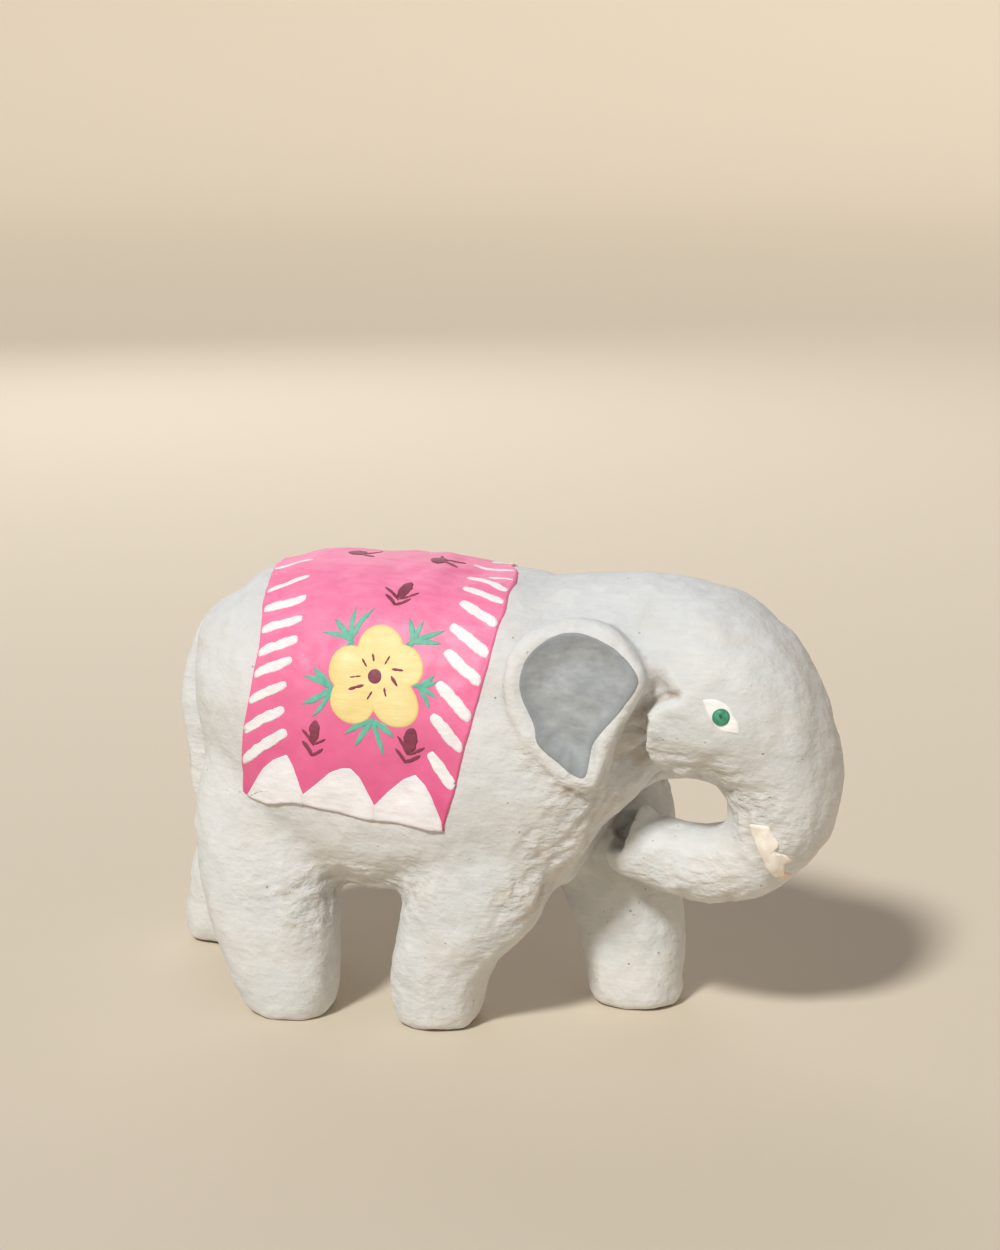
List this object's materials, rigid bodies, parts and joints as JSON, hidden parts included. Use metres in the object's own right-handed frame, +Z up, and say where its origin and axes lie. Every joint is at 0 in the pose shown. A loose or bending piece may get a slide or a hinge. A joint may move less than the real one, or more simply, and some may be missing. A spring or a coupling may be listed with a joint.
{
  "type": "carved elephant figurine",
  "caption": "Small standing elephant figurine with a curled trunk, leaf-shaped ears and a painted saddle cloth over its back.",
  "frame": {"origin": "on the standing plane, under the middle of the figurine's box", "axes": "+X towards the head, +Y towards the elephant's left side, +Z up"},
  "size_m": [0.1438, 0.0582, 0.0892],
  "materials": {
    "skin_paint": "carved wood under a brushed matte pale grey gesso, beige in the creases",
    "cloth_paint": "thin pasted layer painted satin pink with white, yellow, green and maroon motifs",
    "tusk_paint": "thin strip painted matte cream",
    "eye_paint": "small raised bead painted satin green",
    "bare_dowel": "bare turned hardwood dowel, glued"
  },
  "bodies": {
    "root": {"torso": "skin_paint", "head": "skin_paint", "trunk_end": "skin_paint", "leg_hind_right": "skin_paint", "leg_hind_left": "skin_paint", "leg_front_right": "skin_paint", "leg_front_left": "skin_paint", "ear_right": "skin_paint", "ear_left": "skin_paint", "tail": "skin_paint", "saddle_cloth": "cloth_paint", "tusk_right": "tusk_paint", "tusk_left": "tusk_paint", "eye_right": "eye_paint", "eye_left": "eye_paint", "dowel_hind_right": "bare_dowel", "dowel_hind_left": "bare_dowel", "dowel_front_right": "bare_dowel", "dowel_front_left": "bare_dowel", "dowel_neck_lower": "bare_dowel", "dowel_neck_upper": "bare_dowel", "dowel_trunk": "bare_dowel"}
  },
  "joints": []
}
